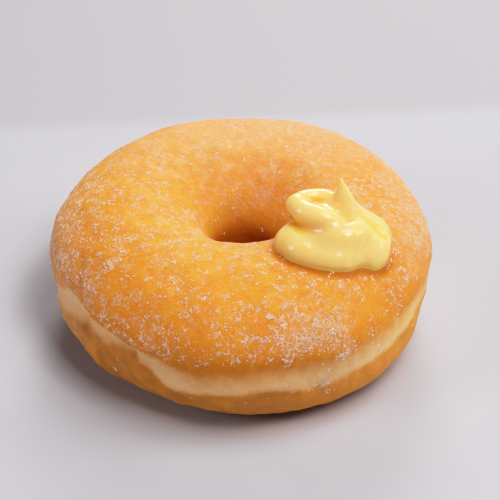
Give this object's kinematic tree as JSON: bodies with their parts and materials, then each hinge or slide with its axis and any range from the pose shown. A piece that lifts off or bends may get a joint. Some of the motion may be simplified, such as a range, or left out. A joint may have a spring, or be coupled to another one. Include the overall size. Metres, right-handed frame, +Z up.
{
  "type": "custard filled sugared ring doughnut",
  "caption": "Puffy yeast ring doughnut with a narrow hole, coated in sugar, and a swirl of custard filling piped out of its top.",
  "frame": {"origin": "middle of the bottom of the box round the doughnut, on the surface it lies on; the ring's hole runs up through it", "axes": "+Z up out of the hole; the custard lies towards +X and -Y, and -Y is the side nearest the viewer"},
  "size_m": [0.0986, 0.0988, 0.0561],
  "materials": {
    "fried_dough": "soft fried crust, golden orange with a paler band round the middle",
    "custard": "wet, smooth and slightly see-through",
    "sugar": "fine white crystals with small glints"
  },
  "bodies": {
    "root": {"dough_ring": "fried_dough", "custard_swirl": "custard"}
  },
  "joints": []
}
